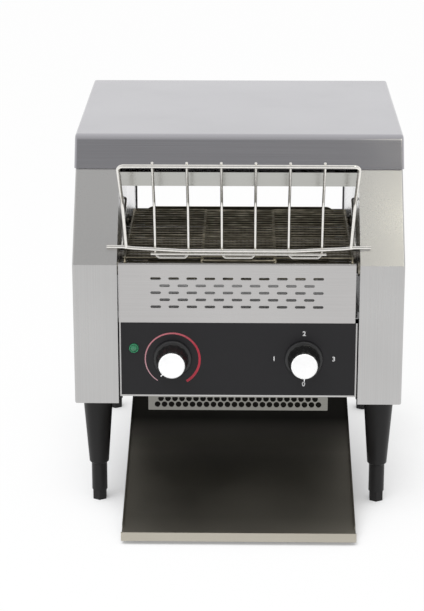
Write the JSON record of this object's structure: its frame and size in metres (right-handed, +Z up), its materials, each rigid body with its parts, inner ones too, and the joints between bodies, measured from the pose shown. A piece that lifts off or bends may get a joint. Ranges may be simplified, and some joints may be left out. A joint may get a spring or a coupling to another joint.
{
  "type": "conveyor toaster",
  "caption": "Countertop conveyor toaster: stainless body on adjustable legs, wire belt and tilting feed rack, heaters above and below, sloping tray and a black control fascia.",
  "frame": {"origin": "on the worktop below the middle of the whole toaster, from tray lip to cable gland", "axes": "+X to the right as seen from the front, +Y towards the back, +Z up"},
  "size_m": [0.371, 0.484, 0.4285],
  "materials": {
    "stainless_sheet": "brushed stainless sheet",
    "chamber_steel": "bright stainless sheet, slightly heat-stained",
    "inner_steel": "plain galvanised or stainless sheet",
    "fascia_black": "satin black facing",
    "screw_steel": "bright screws and nuts",
    "rack_chrome": "chrome-plated wire",
    "belt_wire": "heat-darkened stainless wire",
    "machined_steel": "machined steel",
    "bush_bronze": "sintered bronze",
    "motor_paint": "dark enamel",
    "quartz": "quartz tube over a dark coil",
    "ceramic_caps": "plain ceramic",
    "knob_black": "satin black moulding",
    "knob_cap_white": "bright white insert",
    "moulded_black": "moulded black plastic",
    "lens_green": "translucent green lens",
    "leg_plastic": "moulded black plastic"
  },
  "bodies": {
    "body": {"base_plate": "inner_steel", "cable_gland": "moulded_black", "control_box_back": "inner_steel", "control_fascia": "fascia_black", "control_panel": "stainless_sheet", "conveyor_belt": "belt_wire", "drive_chain": "machined_steel", "drive_motor": "motor_paint", "element_end_caps": "ceramic_caps", "fan_frame": "moulded_black", "front_header": "chamber_steel", "front_left_leg": "leg_plastic", "front_right_leg": "leg_plastic", "front_vent_panel": "stainless_sheet", "hood_screws": "screw_steel", "indicator_lamp": "moulded_black", "indicator_lens": "lens_green", "left_inner_plate": "chamber_steel", "left_side_cover": "stainless_sheet", "leg_mounting_plates": "inner_steel", "leg_nuts": "screw_steel", "lower_air_guard": "stainless_sheet", "lower_heat_shield": "inner_steel", "lower_heating_elements": "quartz", "rear_left_leg": "leg_plastic", "rear_panel": "stainless_sheet", "rear_panel_screws": "screw_steel", "rear_right_leg": "leg_plastic", "right_inner_plate": "chamber_steel", "right_side_cover": "stainless_sheet", "selector_switch": "moulded_black", "shaft_bushes": "bush_bronze", "speed_regulator": "moulded_black", "terminal_block": "moulded_black", "toast_chute": "chamber_steel", "top_hood": "stainless_sheet", "tray_carrier": "inner_steel", "upper_heating_elements": "quartz", "upper_reflector": "chamber_steel"},
    "browning_control": {"browning_knob": "knob_black", "browning_knob_cap": "knob_cap_white", "browning_shaft": "machined_steel"},
    "selector_control": {"selector_knob": "knob_black", "selector_knob_cap": "knob_cap_white", "selector_shaft": "machined_steel"},
    "tray": {"toast_tray": "stainless_sheet"},
    "feed_rack": {"wire_feed_rack": "rack_chrome"},
    "rear_guide": {"rear_toast_guide": "chamber_steel"},
    "front_roller": {"front_belt_shaft": "machined_steel", "front_belt_wheels": "machined_steel"},
    "rear_roller": {"rear_belt_shaft": "machined_steel", "rear_belt_wheels": "machined_steel", "shaft_sprocket": "machined_steel"},
    "motor_output": {"motor_shaft": "machined_steel", "motor_sprocket": "machined_steel"},
    "fan_wheel": {"fan_rotor": "moulded_black"},
    "front_left_adjuster": {"front_left_foot": "leg_plastic"},
    "front_right_adjuster": {"front_right_foot": "leg_plastic"},
    "rear_left_adjuster": {"rear_left_foot": "leg_plastic"},
    "rear_right_adjuster": {"rear_right_foot": "leg_plastic"}
  },
  "joints": [
    {"name": "browning_turn", "type": "hinge", "parent": "body", "child": "browning_control", "pos_m": [-0.0738, -0.1586, 0.1908], "axis": [0, 1, 0], "range_deg": [0, 270]},
    {"name": "selector_turn", "type": "hinge", "parent": "body", "child": "selector_control", "pos_m": [0.0738, -0.1586, 0.1908], "axis": [0, 1, 0], "range_deg": [0, 270]},
    {"name": "tray_pull", "type": "slide", "parent": "body", "child": "tray", "axis": [0, -1, 0], "range_m": [0, 0.25]},
    {"name": "rack_swing", "type": "hinge", "parent": "body", "child": "feed_rack", "pos_m": [0, -0.0645, 0.352], "axis": [-1, 0, 0], "range_deg": [0, 40]},
    {"name": "guide_lift", "type": "slide", "parent": "body", "child": "rear_guide", "axis": [0, 0, 1], "range_m": [0, 0.03]},
    {"name": "rear_roller_spin", "type": "hinge", "parent": "body", "child": "rear_roller", "pos_m": [0, 0.0555, 0.2925], "axis": [-1, 0, 0], "continuous": true},
    {"name": "front_roller_spin", "type": "hinge", "parent": "body", "child": "front_roller", "pos_m": [0, -0.1435, 0.2925], "axis": [-1, 0, 0], "continuous": true},
    {"name": "motor_spin", "type": "hinge", "parent": "body", "child": "motor_output", "pos_m": [0, -0.0145, 0.19235], "axis": [-1, 0, 0], "continuous": true},
    {"name": "fan_spin", "type": "hinge", "parent": "body", "child": "fan_wheel", "pos_m": [-0.03, -0.0545, 0.1564], "axis": [0, 0, 1], "continuous": true},
    {"name": "front_left_foot_adjust", "type": "slide", "parent": "body", "child": "front_left_adjuster", "axis": [0, 0, 1], "range_m": [0, 0.033]},
    {"name": "front_right_foot_adjust", "type": "slide", "parent": "body", "child": "front_right_adjuster", "axis": [0, 0, 1], "range_m": [0, 0.033]},
    {"name": "rear_left_foot_adjust", "type": "slide", "parent": "body", "child": "rear_left_adjuster", "axis": [0, 0, 1], "range_m": [0, 0.033]},
    {"name": "rear_right_foot_adjust", "type": "slide", "parent": "body", "child": "rear_right_adjuster", "axis": [0, 0, 1], "range_m": [0, 0.033]}
  ],
  "couplings": [
    {"joint": "front_roller_spin", "follows": "rear_roller_spin", "ratio": 1},
    {"joint": "motor_spin", "follows": "rear_roller_spin", "ratio": 1}
  ]
}
